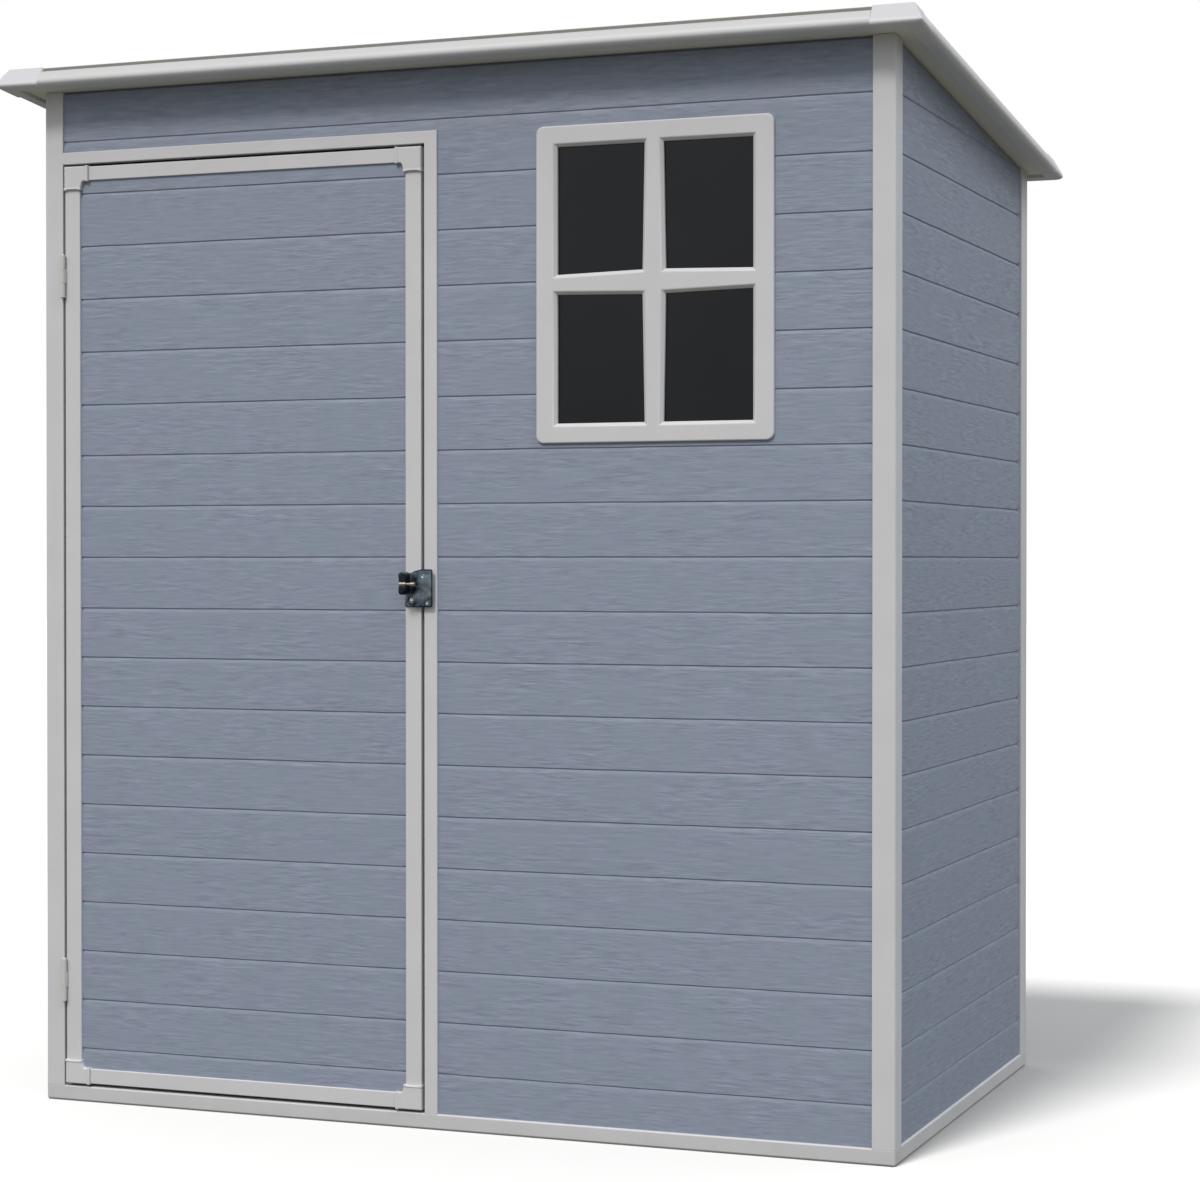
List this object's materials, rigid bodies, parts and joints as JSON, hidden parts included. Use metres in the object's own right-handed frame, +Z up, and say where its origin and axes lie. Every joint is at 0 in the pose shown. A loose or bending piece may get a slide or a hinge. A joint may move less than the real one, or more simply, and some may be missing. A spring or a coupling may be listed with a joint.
{
  "type": "lean-to garden shed",
  "caption": "Small lean-to garden shed of plank-look panels between light corner posts, with a hinged outward door, a turn latch, a barred window and a roof that falls to the back.",
  "frame": {"origin": "on the ground at the centre of the footprint over the corner posts", "axes": "+Z up, front with the door towards -Y, +X to the right of the front"},
  "size_m": [1.832, 1.1726, 2.0026],
  "materials": {
    "plank": "blue-grey moulded panel with an embossed wood grain",
    "trim": "light warm grey satin profile",
    "roof_sheet": "grey weathering sheet",
    "floor": "dark grey moulded floor panel",
    "glass": "clear glazing over a dark inside",
    "hinge": "light grey paint",
    "latch": "blue zinc plate"
  },
  "bodies": {
    "shed": {"floor_panel": "floor", "front_sill": "trim", "back_sill": "trim", "left_sill": "trim", "right_sill": "trim", "front_left_post": "trim", "front_right_post": "trim", "back_left_post": "trim", "back_right_post": "trim", "door_jamb": "trim", "door_lintel": "trim", "window_frame": "trim", "roof_panel": "trim", "front_roof_edge": "trim", "back_roof_edge": "trim", "left_roof_edge": "trim", "right_roof_edge": "trim", "front_left_roof_cap": "trim", "front_right_roof_cap": "trim", "back_left_roof_cap": "trim", "back_right_roof_cap": "trim", "wall_over_door": "plank", "front_wall": "plank", "left_wall": "plank", "right_wall": "plank", "back_wall": "plank", "window_glass": "glass", "roof_sheet": "roof_sheet", "upper_hinge_post_leaf": "hinge", "lower_hinge_post_leaf": "hinge"},
    "door": {"door_panel": "plank", "door_hinge_stile": "trim", "door_latch_stile": "trim", "door_top_rail": "trim", "door_bottom_rail": "trim", "door_cap_top_hinge": "trim", "door_cap_top_latch": "trim", "door_cap_bottom_hinge": "trim", "door_cap_bottom_latch": "trim", "upper_hinge_door_leaf": "hinge", "lower_hinge_door_leaf": "hinge", "latch_plate": "latch"},
    "latch": {"latch_turn": "latch"}
  },
  "joints": [
    {"name": "door_swing", "type": "hinge", "parent": "shed", "child": "door", "pos_m": [-0.8105, -0.5305, 0], "axis": [0, 0, -1], "range_deg": [0, 110]},
    {"name": "latch_turn", "type": "hinge", "parent": "door", "child": "latch", "pos_m": [-0.07075, -0.525, 1.01], "axis": [0, -1, 0], "range_deg": [0, 90]}
  ]
}
